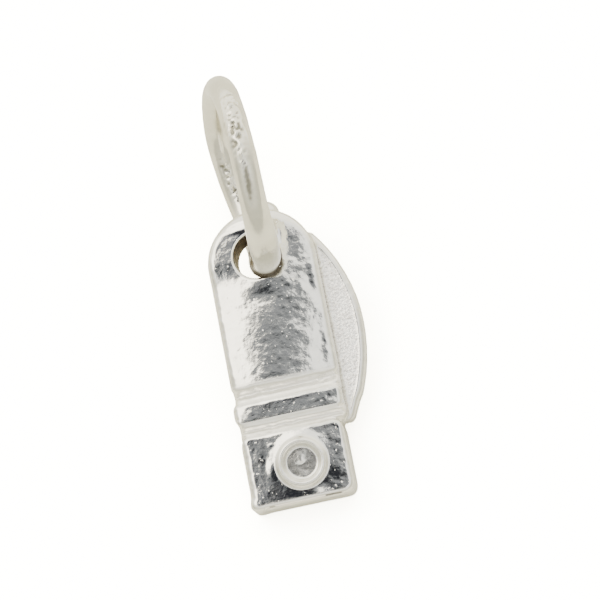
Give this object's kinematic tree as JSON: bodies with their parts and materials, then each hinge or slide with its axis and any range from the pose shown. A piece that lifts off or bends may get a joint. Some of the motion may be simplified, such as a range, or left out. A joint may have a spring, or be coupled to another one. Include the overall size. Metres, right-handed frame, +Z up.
{
  "type": "silver bar charm pendant with jump ring",
  "caption": "Small cast silver bar charm with a cross band, a raised ring and a satin side wing, on a closed jump ring; hangs on a bracelet or necklace chain.",
  "frame": {"origin": "middle of the pendant's outline seen from above, on the surface that it lies on", "axes": "+Y along the charm from its end block to its loop, +Z up from the surface, +X towards the side wing"},
  "size_m": [0.0048, 0.0142, 0.0068],
  "materials": {
    "cast_silver": "cast silver, tumbled bright with fine pits, the side wing sandblasted",
    "ring_silver": "silver wire, soft polish with small dents and a soldered joint"
  },
  "bodies": {
    "root": {"charm": "cast_silver", "jump_ring": "ring_silver"}
  },
  "joints": []
}
